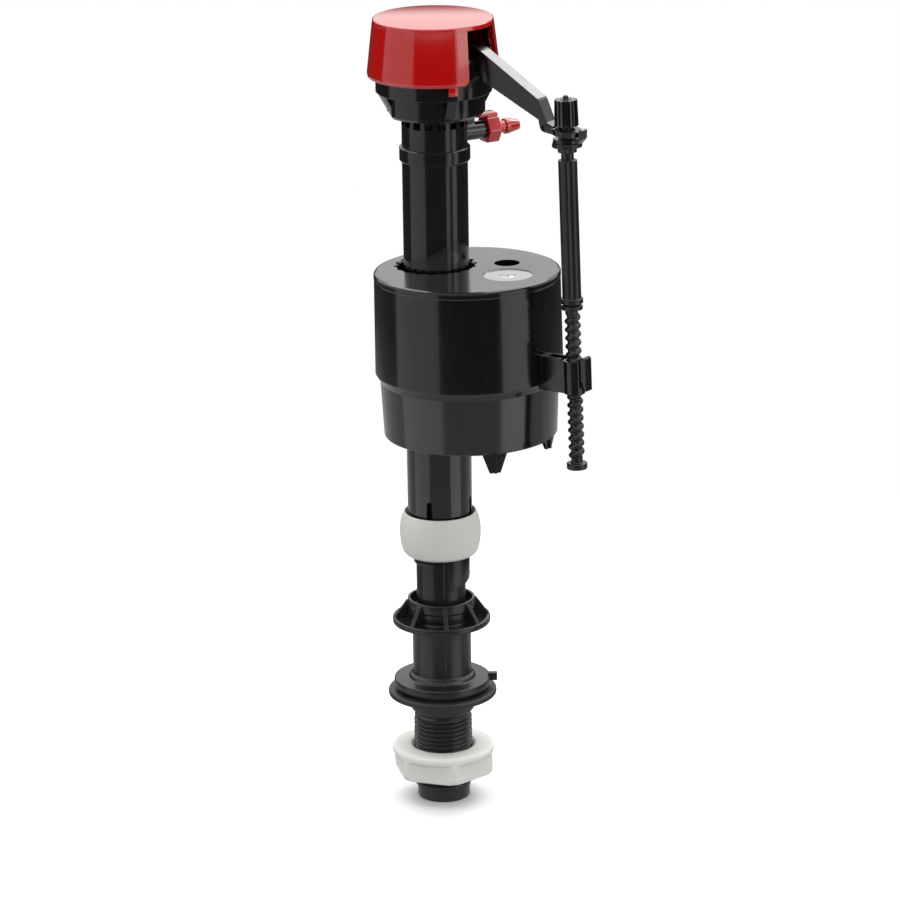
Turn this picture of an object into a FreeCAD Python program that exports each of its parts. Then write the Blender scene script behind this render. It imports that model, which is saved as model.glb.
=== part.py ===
"""Adjustable float-cup fill valve for a toilet tank.

Units are millimetres.  The origin is the centre of the threaded tail's lower end, +Z runs up the
shank's axis and +X points to the adjusting rod.  Heights are measured from the tail's lower end.
"""
import FreeCAD, Part
import math
import os
from FreeCAD import Vector

# ---------------------------------------------------------------- driving dimensions
# Tail and shank
TAIL_R = 9.95              # plain lead-in of the tail
TAIL_LEAD = 3.6
THREAD_R = 11.1            # 7/8 inch thread crest
THREAD_ROOT_R = 10.2
THREAD_PITCH = 25.4 / 14
THREAD_COUNT = 16
NECK_R = 10.9              # plain neck inside the sealing washer
NECK_BOTTOM = 35.4
SEAT_Z = 41.5              # underside of the sealing washer, on the tank floor
FLANGE_R = 18.35
FLANGE_BOTTOM = 45.4
FLANGE_TOP = 48.4
BARREL_R = 11.1
RING_R = 18.55             # ribbed ring
RING_BOTTOM = 70.6
RING_COLLAR_R = 12.77
RING_TOP = 80.5
RIB_COUNT = 8
RIB_START = -48.0          # azimuth of the first rib, degrees
UPPER_R = 9.3              # upper tube of the shank
UPPER_TOP = 162.0
PAD_OFFSET = 1.7           # the pad's own axis, from the tube's
INLET_R = 7.9              # mouth of the inlet bore
INLET_DEPTH = 7.3
STRAINER_R = 7.5
SHANK_BORE_R = 7.6

# Riser group
RISER_R = 12.15
RISER_BORE_R = 10.65
RISER_BOTTOM = 101.0
SOCKET_R = 13.1
SOCKET_BOTTOM = 250.6
SOCKET_TOP = 255.8
SLOT_TOP = 121.4
SLOT_WIDTH = 2.3
SLOT_START = -72.5
NECK_TOP = 267.8           # underside of the bowl
BOWL_LOW_R = 16.4
BAND_R = 21.4
BAND_BOTTOM = 276.7
FRONT_R = 18.8             # recessed front of the bowl, under the band
FRONT_START = -110.0       # the recess, degrees
FRONT_END = 45.0
BODY_TOP = 286.0
BONNET_TOP = 291.0
WINDOW_COUNT = 16
PORT_AZ = 65.0             # azimuth of the refill port, degrees
PORT_Z = 259.3
PORT_R = 3.4
PORT_END = 20.4
INLET_TUBE_R = 6.6
INLET_TUBE_BORE_R = 5.1
INLET_TUBE_BOTTOM = 104.0

# Cap
CAP_TOP = 303.7
CAP_TOP_R = 22.15
CAP_RIM_R = 24.5
CAP_WALL = 1.6
CAP_BOTTOM = 282.2
NOTCH_HALF = 21.4          # half angle of the lever's notch, degrees
TAB_AZ = -36.3

# Lever and its travel
PIVOT = Vector(10.0, 0, 295.3)
LEVER_HALF = 2.75
LEVER_TRAVEL = 12.4        # degrees from open to closed
TRUNNION_R = 2.0

# Rod and float hang together, leaning a little, from the lever's eye
ROD_X = 61.55
HANG_Z = 178.0
LEAN = 1.75                # degrees; the top leans towards the riser
EYE_Z = 268.4
EYE_LEAN = 7.8             # the eye's own slope against the rod
ROD_LEAD = 25.4 / 8
SCREW_R = 2.95
SCREW_CORE_R = 2.1
SCREW_BOTTOM = 145.6
SCREW_TOP = 202.7
CUP_X = 15.25              # the cup's centre, from the riser's axis
CUP_TOP = 212.1
CUP_RIM = 149.8
CUP_WALL = 1.6
SLEEVE_R = 14.2
SLEEVE_X = 0.9             # the sleeve's axis, before the cup is tipped
CUP_TIP = 0.93             # degrees; the cup hangs straighter than the rod
TIP_Z = 229.0
STEP_TOP = 173.9           # soft step in the cup's wall
STEP_LOW = 170.8
VENT = Vector(22.5, 15.3, 0)
VENT_R = 4.75
DIAL = Vector(32.8, 1.2, 0)
DIAL_R = 9.2
TOOTH_COUNT = 18           # round the riser's hole in the cup's top

# Loose rings
COLLAR_BOTTOM = 98.2
COLLAR_TOP = 114.8
NUT_BOTTOM = 10.3
NUT_TOP = 21.3
NUT_CORNER_R = 20.0
NUT_AZ = -41.7

Z_AXIS = Vector(0, 0, 1)
Y_AXIS = Vector(0, 1, 0)
ORIGIN = Vector(0, 0, 0)


# ---------------------------------------------------------------- shape helpers
def polygon_face(points):
    """A flat face from a list of vectors."""
    return Part.Face(Part.makePolygon(points + [points[0]]))


def revolved(outline, x=0.0):
    """A solid of revolution about the vertical line at x, from (radius, height) points."""
    face = polygon_face([Vector(x + r, 0, z) for r, z in outline])
    return face.revolve(Vector(x, 0, 0), Z_AXIS, 360)


def tube(outer_r, inner_r, bottom, top, x=0.0):
    """A plain upright ring."""
    ring = Part.makeCylinder(outer_r, top - bottom, Vector(x, 0, bottom))
    if inner_r > 0:
        ring = ring.cut(Part.makeCylinder(inner_r, top - bottom, Vector(x, 0, bottom)))
    return ring


def block(x0, x1, y0, y1, z0, z1):
    """A box between two corners."""
    return Part.makeBox(x1 - x0, y1 - y0, z1 - z0, Vector(x0, y0, z0))


def around(shape, azimuth, x=0.0):
    """The shape turned about the vertical line at x."""
    turned = shape.copy()
    turned.rotate(Vector(x, 0, 0), Z_AXIS, azimuth)
    return turned


def hung(shape):
    """The shape leaning with the rod and the float."""
    leaning = shape.copy()
    leaning.rotate(Vector(ROD_X, 0, HANG_Z), Y_AXIS, -LEAN)
    return leaning


def sector(outer_r, inner_r, bottom, top, start, end):
    """Part of a ring between two azimuths."""
    ring = Part.makeCylinder(outer_r, top - bottom, Vector(0, 0, bottom), Z_AXIS, end - start)
    ring = ring.cut(Part.makeCylinder(inner_r, top - bottom, Vector(0, 0, bottom)))
    return around(ring, start)


def plate_y(points, half):
    """A plate of the outline (x, z), from y = -half to y = half."""
    face = polygon_face([Vector(x, -half, z) for x, z in points])
    return face.extrude(Vector(0, 2 * half, 0))


def ridges(crest_r, root_r, pitch, first, count):
    """Annular thread ridges on a core, as one outline from the first root to the last."""
    outline = []
    for turn in range(count):
        z = first + turn * pitch
        outline.append((root_r, z))
        outline.append((crest_r, z + 0.36 * pitch))
        outline.append((crest_r, z + 0.56 * pitch))
        outline.append((root_r, z + 0.92 * pitch))
    return outline


def save(name, shape):
    """Write one node, which must be a single valid solid."""
    solids = shape.Solids
    if len(solids) != 1 or not solids[0].isValid():
        raise RuntimeError(f"{name}: {len(solids)} solids, valid {shape.isValid()}")
    solids[0].exportStep(f"parts/{name}.step")


# ---------------------------------------------------------------- shank group
def shank():
    """Tail, thread, neck, flange, barrel, ribbed ring and upper tube: one moulding."""
    outline = [(INLET_R, 0), (TAIL_R - 0.6, 0), (TAIL_R, 0.6), (TAIL_R, TAIL_LEAD)]
    outline += ridges(THREAD_R, THREAD_ROOT_R, THREAD_PITCH, TAIL_LEAD + 0.5, THREAD_COUNT)
    outline += [
        (NECK_R, NECK_BOTTOM - 1.2), (NECK_R, FLANGE_BOTTOM),
        (FLANGE_R - 0.3, FLANGE_BOTTOM), (FLANGE_R, FLANGE_BOTTOM + 0.3),
        (FLANGE_R, FLANGE_TOP - 0.3), (FLANGE_R - 0.3, FLANGE_TOP),
        (12.4, FLANGE_TOP), (12.4, FLANGE_TOP + 1.6), (BARREL_R, FLANGE_TOP + 1.6),
        (BARREL_R, RING_BOTTOM), (RING_R - 0.3, RING_BOTTOM), (RING_R, RING_BOTTOM + 0.3),
        (RING_R, RING_BOTTOM + 2.0), (RING_R - 0.3, RING_BOTTOM + 2.3),
        (16.9, RING_BOTTOM + 2.3), (16.9, RING_BOTTOM + 1.6), (RING_COLLAR_R - 0.2, RING_BOTTOM + 1.6),
        (RING_COLLAR_R - 0.2, RING_TOP - 4.0), (RING_COLLAR_R, RING_TOP - 3.6),
        (RING_COLLAR_R, RING_TOP - 0.3), (RING_COLLAR_R - 0.3, RING_TOP), (11.7, RING_TOP),
        (11.0, RING_TOP - 4.5), (UPPER_R, RING_TOP - 4.5), (UPPER_R, UPPER_TOP - 0.8),
        (UPPER_R - 0.8, UPPER_TOP), (SHANK_BORE_R, UPPER_TOP), (SHANK_BORE_R, 30.0),
        (6.2, 28.6), (6.2, 8.5), (STRAINER_R, 8.5), (STRAINER_R, INLET_DEPTH), (INLET_R, INLET_DEPTH),
    ]
    body = revolved(outline)
    gusset = plate_y([(12.0, RING_BOTTOM + 1.0), (17.9, RING_BOTTOM + 1.0), (17.9, RING_BOTTOM + 2.5),
                      (RING_COLLAR_R + 0.5, RING_TOP - 0.8), (12.0, RING_TOP - 0.8)], 0.8)
    for index in range(RIB_COUNT):
        body = body.fuse(around(gusset, RIB_START + index * 360 / RIB_COUNT))
    lug = block(FLANGE_R - 1.0, FLANGE_R + 2.55, -1.3, 1.3, FLANGE_BOTTOM + 1.0, FLANGE_TOP + 1.0)
    body = body.fuse(around(lug, 36.0))
    body = body.fuse(upper_lugs())
    groove = Part.makeTorus(UPPER_R, 0.5, Vector(0, 0, UPPER_TOP - 8.0))
    return body.cut(groove).removeSplitter()


def upper_lugs():
    """The low lugs on the upper tube: a ledge, and an offset pad with a sloping lower edge."""
    ledge = sector(UPPER_R + 0.9, UPPER_R - 0.4, 94.8, 96.1, -149.0, -69.0)
    pad = Part.makeCylinder(UPPER_R, 20.0, Vector(PAD_OFFSET, 0, 80.0))
    pad = pad.cut(Part.makeCylinder(UPPER_R - 0.4, 20.0, Vector(0, 0, 80.0)))
    slope = plate_y([(-20, 70.0), (20, 70.0), (20, 80.4), (-20, 94.0)], 20.0)
    slope.rotate(ORIGIN, Z_AXIS, -118.0)
    front = block(2.0, 14.0, -14.0, 14.0, 80.0, 99.0)
    return Part.makeCompound([ledge, around(pad.common(front).cut(slope), 36.0)])


def seal_washer():
    """Rubber washer: hub, flat seat and the cone that centres it in the tank's hole."""
    return revolved([
        (NECK_R, NECK_BOTTOM), (11.75, NECK_BOTTOM), (13.9, SEAT_Z), (20.3, SEAT_Z),
        (20.6, SEAT_Z + 0.3), (20.6, SEAT_Z + 2.0), (20.3, SEAT_Z + 2.3), (15.4, SEAT_Z + 2.3),
        (15.4, FLANGE_BOTTOM), (NECK_R, FLANGE_BOTTOM),
    ])


def inlet_strainer():
    """Thimble screen in the tail, with a rim that stands on the bore's step."""
    thimble = revolved([
        (5.0, INLET_DEPTH), (STRAINER_R, INLET_DEPTH), (STRAINER_R, 8.5), (5.9, 8.5), (5.7, 21.0),
        (0, 21.0), (0, 20.2), (5.0, 20.2),
    ])
    slot = block(4.0, 7.0, -0.5, 0.5, 10.0, 19.0)
    for index in range(12):
        thimble = thimble.cut(around(slot, 30.0 * index))
    return thimble


def lock_nut():
    """Nylon nut: hexagon with a round flange on top, running on the thread."""
    corners = []
    for index in range(6):
        angle = math.radians(NUT_AZ + 60 * index)
        corners.append(Vector(NUT_CORNER_R * math.cos(angle), NUT_CORNER_R * math.sin(angle), NUT_BOTTOM))
    hexagon = polygon_face(corners).extrude(Vector(0, 0, NUT_TOP - NUT_BOTTOM))
    bevel = revolved([
        (0, NUT_BOTTOM), (19.2, NUT_BOTTOM), (20.4, NUT_BOTTOM + 1.2), (20.4, NUT_TOP - 2.6),
        (19.5, NUT_TOP - 2.2), (18.9, NUT_TOP), (0, NUT_TOP),
    ])
    flange = revolved([
        (0, NUT_TOP - 3.2), (19.5, NUT_TOP - 3.2), (19.5, NUT_TOP - 0.8), (18.7, NUT_TOP), (0, NUT_TOP),
    ])
    solid = hexagon.common(bevel).fuse(flange)
    bore = revolved([
        (0, NUT_BOTTOM), (12.2, NUT_BOTTOM), (11.2, NUT_BOTTOM + 1.0), (11.2, NUT_TOP - 1.0),
        (12.2, NUT_TOP), (0, NUT_TOP),
    ])
    return solid.cut(bore).removeSplitter()


# ---------------------------------------------------------------- riser group
def riser_tube():
    """Outer tube with the socket for the valve's neck and the slotted lower end."""
    body = revolved([
        (RISER_BORE_R, RISER_BOTTOM), (RISER_R - 0.5, RISER_BOTTOM), (RISER_R, RISER_BOTTOM + 0.5),
        (RISER_R, SOCKET_BOTTOM), (SOCKET_R - 0.2, SOCKET_BOTTOM), (SOCKET_R, SOCKET_BOTTOM + 0.4),
        (SOCKET_R, SOCKET_TOP - 0.3), (SOCKET_R - 0.3, SOCKET_TOP), (12.2, SOCKET_TOP),
        (12.2, SOCKET_BOTTOM + 1.2), (RISER_BORE_R, SOCKET_BOTTOM + 1.2),
    ])
    half = SLOT_WIDTH / 2
    slot = block(9.0, 14.0, -half, half, RISER_BOTTOM - 1, SLOT_TOP - half)
    slot = slot.fuse(Part.makeCylinder(half, 5.0, Vector(9.0, 0, SLOT_TOP - half), Vector(1, 0, 0)))
    for index in range(4):
        body = body.cut(around(slot, SLOT_START + 90 * index))
    rib = block(RISER_R - 0.6, RISER_R + 0.25, -0.7, 0.7, 126.0, SOCKET_BOTTOM + 1.0)
    return body.fuse(around(rib, -32.0)).removeSplitter()


def lock_collar():
    """White barrel-shaped collar that closes the riser's slotted end."""
    foot, top = COLLAR_BOTTOM, COLLAR_TOP
    return revolved([
        (RISER_R + 0.1, foot + 1.0), (12.75, foot), (13.3, foot + 0.15), (14.0, foot + 0.9),
        (14.45, foot + 2.0), (14.85, foot + 3.6), (15.15, foot + 5.4), (15.35, foot + 7.4),
        (15.4, foot + 8.9), (15.3, foot + 10.5), (15.05, foot + 12.2), (14.65, foot + 14.0),
        (14.2, foot + 15.5), (13.95, top - 0.4), (13.6, top), (13.2, top), (13.0, top - 4.0),
        (RISER_R + 0.1, top - 4.6),
    ])


def valve_body():
    """Bowl, windowed neck, refill port and the spider that carries the inlet tube."""
    shell = revolved([
        (10.6, SOCKET_BOTTOM + 1.3), (12.12, SOCKET_BOTTOM + 1.3), (12.12, NECK_TOP),
        (BOWL_LOW_R - 0.3, NECK_TOP), (BOWL_LOW_R, NECK_TOP + 0.4), (21.0, BAND_BOTTOM - 0.1),
        (BAND_R, BAND_BOTTOM), (BAND_R, BODY_TOP), (20.3, BODY_TOP), (20.3, BODY_TOP - 1.4),
        (18.4, BODY_TOP - 1.4), (18.4, BAND_BOTTOM), (13.2, NECK_TOP + 1.8), (10.6, NECK_TOP + 1.8),
    ])
    fill = sector(FRONT_R, 15.6, NECK_TOP + 0.2, BAND_BOTTOM + 0.3, FRONT_START, FRONT_END)
    fill = fill.cut(revolved([(FRONT_R - 1.3, NECK_TOP), (FRONT_R + 1.0, NECK_TOP),
                              (FRONT_R + 1.0, NECK_TOP + 2.3)]))
    recess = sector(BAND_R + 1.0, FRONT_R, NECK_TOP - 1.0, BAND_BOTTOM - 0.3, FRONT_START, FRONT_END)
    shell = shell.fuse(fill).cut(recess)
    brace = plate_y([(18.0, BAND_BOTTOM - 4.4), (19.0, BAND_BOTTOM - 4.4), (21.3, BAND_BOTTOM + 0.2),
                     (18.0, BAND_BOTTOM + 0.2)], 0.8)
    shell = shell.fuse(around(brace, 36.0))
    window = block(9.0, 14.0, -1.5, 1.5, NECK_TOP - 4.0, NECK_TOP - 0.1)
    for index in range(WINDOW_COUNT):
        shell = shell.cut(around(window, index * 360 / WINDOW_COUNT + 4))
    axis = Vector(1, 0, 0)
    port = Part.makeCylinder(PORT_R, PORT_END - 11.2, Vector(11.2, 0, PORT_Z), axis)
    gusset = block(11.2, 16.5, -0.8, 0.8, PORT_Z, NECK_TOP + 1.0)
    shell = shell.fuse(around(port.fuse(gusset), PORT_AZ))
    bore = Part.makeCylinder(2.2, 16.0, Vector(8.0, 0, PORT_Z), axis)
    shell = shell.cut(around(bore, PORT_AZ))
    shell = shell.fuse(tube(8.4, INLET_TUBE_R, 268.0, 276.0))
    web = block(8.0, 11.2, -0.8, 0.8, 268.2, 269.5)
    foot = block(8.0, 17.4, -0.8, 0.8, 269.5, 275.0)
    for index in range(4):
        shell = shell.fuse(around(web.fuse(foot), 45 + 90 * index))
    rib = plate_y([(16.0, NECK_TOP), (FRONT_R - 0.9, NECK_TOP), (BAND_R + 0.7, BAND_BOTTOM),
                   (BAND_R + 0.7, BAND_BOTTOM + 2.4), (20.6, BAND_BOTTOM + 2.4), (20.4, BAND_BOTTOM)], 1.8)
    return shell.fuse(around(rib, TAB_AZ)).removeSplitter()


def bonnet():
    """Cover over the diaphragm, with the pilot hole and the lever's two ears."""
    cover = revolved([
        (0, BONNET_TOP - 1.6), (18.4, BONNET_TOP - 1.6), (18.4, BODY_TOP + 0.6), (20.25, BODY_TOP + 0.6),
        (20.25, BODY_TOP), (BAND_R, BODY_TOP), (BAND_R, BONNET_TOP - 1.0), (BAND_R - 1.0, BONNET_TOP),
        (3.0, BONNET_TOP), (2.4, BONNET_TOP + 0.55), (0, BONNET_TOP + 0.55),
    ])
    ears = None
    for side in (-1, 1):
        inner = LEVER_HALF + 0.4
        y0, y1 = sorted((side * inner, side * (inner + 2.4)))
        ear = block(PIVOT.x - 3.4, PIVOT.x + 3.4, y0, y1, BONNET_TOP - 0.5, PIVOT.z)
        head = Part.makeCylinder(3.4, 2.4, Vector(PIVOT.x, y0, PIVOT.z), Y_AXIS)
        ear = ear.fuse(head)
        ears = ear if ears is None else ears.fuse(ear)
    hole = Part.makeCylinder(TRUNNION_R + 0.06, 20.0, Vector(PIVOT.x, -10.0, PIVOT.z), Y_AXIS)
    cover = cover.fuse(ears.cut(hole))
    pilot = Part.makeCylinder(0.8, 6.0, Vector(0, 0, BONNET_TOP - 3.0))
    socket = Part.makeCylinder(0.6, 1.2, Vector(0, 4.2, BONNET_TOP - 1.6))
    return cover.cut(pilot).cut(socket).removeSplitter()


def cap_cover():
    """Red cap: crisp flat top, flared skirt, lever notch and the small tab under the skirt."""
    slope = (CAP_RIM_R - CAP_TOP_R) / (CAP_TOP - 0.5 - CAP_BOTTOM - 1.2)
    outer = [(0, CAP_TOP), (CAP_TOP_R - 0.5, CAP_TOP), (CAP_TOP_R, CAP_TOP - 0.5),
             (CAP_RIM_R, CAP_BOTTOM + 1.2), (CAP_RIM_R - 0.5, CAP_BOTTOM)]
    inner_top = CAP_TOP - CAP_WALL
    inner = [(CAP_RIM_R - CAP_WALL, CAP_BOTTOM),
             (CAP_TOP_R - CAP_WALL + slope * CAP_WALL, inner_top), (0, inner_top)]
    cap = revolved(outer + inner)
    reach = 30.0
    rise = math.tan(math.radians(NOTCH_HALF)) * reach
    wedge = polygon_face([Vector(6.0, 0, CAP_BOTTOM - 5), Vector(reach, -rise, CAP_BOTTOM - 5),
                          Vector(reach, rise, CAP_BOTTOM - 5)])
    cap = cap.cut(wedge.extrude(Vector(0, 0, inner_top + 5 - CAP_BOTTOM)))
    for side in (-1, 1):
        corner = Part.makePolygon([
            Vector(0, side * 10.4, CAP_BOTTOM - 1), Vector(0, side * 5.0, CAP_BOTTOM - 1),
            Vector(0, side * 8.0, CAP_BOTTOM + 3.5), Vector(0, side * 10.4, CAP_BOTTOM - 1)])
        cap = cap.cut(Part.Face(corner).extrude(Vector(reach, 0, 0)))
    tab = block(CAP_RIM_R - 1.9, CAP_RIM_R - 0.5, -1.8, 1.8, CAP_BOTTOM - 3.2, CAP_BOTTOM + 0.6)
    return cap.fuse(around(tab, TAB_AZ)).removeSplitter()


def inlet_tube():
    """Inner water tube, with its grooved foot in the shank and its flange in the head."""
    return revolved([
        (INLET_TUBE_BORE_R, INLET_TUBE_BOTTOM), (7.0, INLET_TUBE_BOTTOM), (7.3, INLET_TUBE_BOTTOM + 0.5),
        (7.3, 106.8), (6.2, 106.8), (6.2, 109.2), (7.3, 109.2), (7.3, 112.0), (INLET_TUBE_R, 112.7),
        (INLET_TUBE_R, 277.0), (8.2, 277.0), (8.2, 278.5), (INLET_TUBE_R, 278.5), (INLET_TUBE_R, 281.0),
        (INLET_TUBE_BORE_R, 281.0),
    ])


def inlet_tube_seal():
    """O-ring in the foot's groove, running in the shank's bore."""
    return Part.makeTorus(6.875, 0.675, Vector(0, 0, 108.0))


def head_seal():
    """Flat ring under the inlet tube's flange."""
    return tube(8.2, INLET_TUBE_R, 276.0, 277.0)


def valve_seat():
    """Ring on the inlet tube's end that the diaphragm closes on."""
    return revolved([
        (INLET_TUBE_R, 279.0), (8.0, 279.0), (8.0, 282.2), (7.0, 283.2), (6.2, 283.2),
        (INLET_TUBE_BORE_R, 282.4), (INLET_TUBE_BORE_R, 281.0), (INLET_TUBE_R, 281.0),
    ])


def diaphragm():
    """Rubber diaphragm: clamped bead, rolling web and sealing face."""
    disc = revolved([
        (0, 283.25), (8.6, 283.25), (9.4, 284.2), (14.0, 283.6), (18.5, 284.7), (20.2, 284.7),
        (20.2, 286.5), (18.8, 286.5), (18.0, 285.5), (14.0, 284.4), (9.0, 285.0), (8.2, 284.15),
        (0, 284.15),
    ])
    return disc.cut(Part.makeCylinder(1.1, 4.0, Vector(0, 4.2, 282.0)))


def diaphragm_core():
    """Stiff centre of the diaphragm, with the bleed hole for the metering pin."""
    core = revolved([(0, 284.2), (7.4, 284.2), (7.4, 285.4), (4.0, 286.4), (0, 286.4)])
    return core.cut(Part.makeCylinder(0.95, 4.0, Vector(0, 4.2, 283.5)))


def metering_pin():
    """Pin that hangs from the bonnet and passes through the bleed hole."""
    return Part.makeCylinder(0.6, 8.2, Vector(0, 4.2, 282.4))


# ---------------------------------------------------------------- lever, nozzle
def closed_to_open(shape):
    """Turn a shape from the closed valve's position to the open one."""
    turned = shape.copy()
    turned.rotate(PIVOT, Y_AXIS, LEVER_TRAVEL)
    return turned


def lever():
    """Arm from the pilot seal, over its trunnions, down to the rod's eye."""
    arm = plate_y([
        (PIVOT.x, PIVOT.z + 3.2), (12.6, 297.6), (15.5, 296.6), (21.0, 295.3), (23.4, 294.1),
        (47.9, 279.6), (48.6, 278.9),
        (51.9, 271.4), (54.6, 270.2), (54.6, 267.9), (50.2, 267.9), (49.0, 268.9), (48.3, 272.0),
        (24.8, 282.9),
        (22.3, 284.6), (22.3, 291.6), (PIVOT.x, PIVOT.z - 3.2),
    ], LEVER_HALF)
    hub = Part.makeCylinder(3.4, 2 * LEVER_HALF, Vector(PIVOT.x, -LEVER_HALF, PIVOT.z), Y_AXIS)
    pin_half = LEVER_HALF + 2.9
    trunnions = Part.makeCylinder(TRUNNION_R, 2 * pin_half, Vector(PIVOT.x, -pin_half, PIVOT.z), Y_AXIS)
    inner = closed_to_open(block(-2.6, PIVOT.x, -LEVER_HALF, LEVER_HALF, 293.2, 296.8))
    eye = tube(5.4, 0, EYE_Z - 1.0, EYE_Z + 1.0, ROD_X)
    eye = eye.fuse(block(55.6, ROD_X, -4.3, 4.3, EYE_Z - 1.0, EYE_Z + 1.0))
    eye = eye.fuse(tube(4.3, 0, EYE_Z - 1.0, EYE_Z + 1.0, 55.6))
    hole = tube(3.1, 0, EYE_Z - 4.0, EYE_Z + 4.0, ROD_X)
    for ring in (eye, hole):
        ring.rotate(Vector(ROD_X, 0, EYE_Z), Y_AXIS, EYE_LEAN)
    body = arm.fuse(hub).fuse(trunnions).fuse(inner).fuse(hung(eye))
    return body.cut(hung(hole)).removeSplitter()


def pilot_seal():
    """Rubber pad under the lever's inner end."""
    return closed_to_open(Part.makeCylinder(1.9, 1.6, Vector(0, 0, 291.6)))


def refill_nozzle():
    """Red barbed nozzle: spigot, round body with its latch tab, neck and barb."""
    outline = [
        (0, 14.6), (1.2, 14.6), (2.0, 15.0), (2.0, 16.2), (1.45, 16.2), (1.45, 17.8), (2.12, 17.8),
        (2.12, 20.5), (4.5, 20.5), (4.9, 20.9), (4.9, 25.5), (4.5, 25.9), (2.1, 25.9), (2.1, 29.4),
        (2.9, 29.4), (2.9, 30.7), (1.9, 35.4), (1.0, 35.4), (1.0, 33.0), (0, 33.0),
    ]
    solid = revolved(outline)
    solid.rotate(ORIGIN, Y_AXIS, 90)
    drill = Part.makeCylinder(1.0, 30.0, Vector(10.0, 0, 0), Vector(1, 0, 0))
    latch = plate_y([(17.0, 5.0), (18.6, 6.2), (25.0, 6.4), (25.6, 5.8), (25.6, 3.6), (21.4, 3.6),
                     (21.4, 5.2), (18.0, 5.0)], 2.2)
    solid = solid.fuse(latch)
    for azimuth in (60, 120, 180, 240, 300):
        grip = block(21.2, 25.2, -0.8, 0.8, 4.3, 5.4)
        grip.rotate(ORIGIN, Vector(1, 0, 0), azimuth)
        solid = solid.fuse(grip)
    solid = solid.cut(drill).removeSplitter()
    solid.translate(Vector(0, 0, PORT_Z))
    return around(solid, PORT_AZ)


def refill_seal():
    """O-ring on the nozzle's spigot."""
    ring = Part.makeTorus(1.82, 0.34, Vector(17.0, 0, PORT_Z), Vector(1, 0, 0))
    return around(ring, PORT_AZ)


# ---------------------------------------------------------------- rod and float
def rod_clip():
    """Clip round the rod's neck, under the lever's eye, with a hook at its outer end."""
    x = ROD_X
    plate = tube(5.1, 0, EYE_Z - 3.8, EYE_Z - 2.4, x)
    hook = plate_y([(x + 4.0, EYE_Z - 3.8), (x + 5.8, EYE_Z - 3.8), (x + 7.5, EYE_Z - 2.0),
                    (x + 7.8, EYE_Z + 1.2), (x + 7.0, EYE_Z + 1.6), (x + 6.3, EYE_Z + 1.2),
                    (x + 6.2, EYE_Z - 1.6), (x + 5.4, EYE_Z - 2.4), (x + 4.0, EYE_Z - 2.4)], 1.7)
    plate = plate.fuse(hook)
    for side in (-1, 1):
        y0, y1 = sorted((side * 3.3, side * 4.7))
        plate = plate.fuse(block(x - 0.6, x + 0.6, y0, y1, EYE_Z - 2.6, EYE_Z - 1.25))
    plate = plate.cut(tube(2.28, 0, EYE_Z - 6, EYE_Z + 6, x))
    return hung(plate.removeSplitter())


def adjusting_rod():
    """Neck, flange, cross-ribbed shaft, screw and end disc."""
    x = ROD_X
    neck = revolved([(0, 262.9), (5.5, 262.9), (5.5, 264.4), (2.2, 264.4), (2.2, 270.6), (1.9, 270.6),
                     (1.9, 280.3), (1.0, 280.3), (1.0, 281.6), (0, 281.6)], x)
    shaft = tube(3.5, 0, 206.0, 258.0, x)
    shaft = shaft.fuse(tube(2.3, 0, 257.0, 261.0, x)).fuse(tube(3.5, 0, 261.0, 263.0, x))
    groove = Part.makeCylinder(0.9, 50.0, Vector(x + 3.9, 0, 207.6))
    for index in range(4):
        shaft = shaft.cut(around(groove, 45 + 90 * index, x))
    turns = int((SCREW_TOP - SCREW_BOTTOM) / ROD_LEAD)
    outline = [(0, 142.2), (3.5, 142.2), (3.8, 142.6), (3.8, 144.2), (3.5, 144.5), (SCREW_CORE_R, 144.5)]
    outline += ridges(SCREW_R, SCREW_CORE_R, ROD_LEAD, SCREW_BOTTOM, turns)
    outline += [(SCREW_CORE_R, SCREW_TOP - 0.3), (3.9, SCREW_TOP), (3.9, SCREW_TOP + 1.2),
                (2.9, SCREW_TOP + 1.7), (4.1, SCREW_TOP + 2.4), (4.1, 206.8), (0, 206.8)]
    screw = revolved(outline, x)
    return hung(neck.fuse(shaft).fuse(screw).removeSplitter())


def adjuster_knob():
    """Fluted knob pressed on the rod's stem."""
    knob = revolved([(1.9, 270.6), (4.3, 270.6), (4.4, 271.2), (4.15, 279.8), (3.7, 280.2),
                     (1.9, 280.2)], ROD_X)
    flute = Part.makeCylinder(0.45, 12.0, Vector(ROD_X + 4.55, 0, 270.0))
    for index in range(16):
        knob = knob.cut(around(flute, 22.5 * index, ROD_X))
    return hung(knob)


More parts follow.
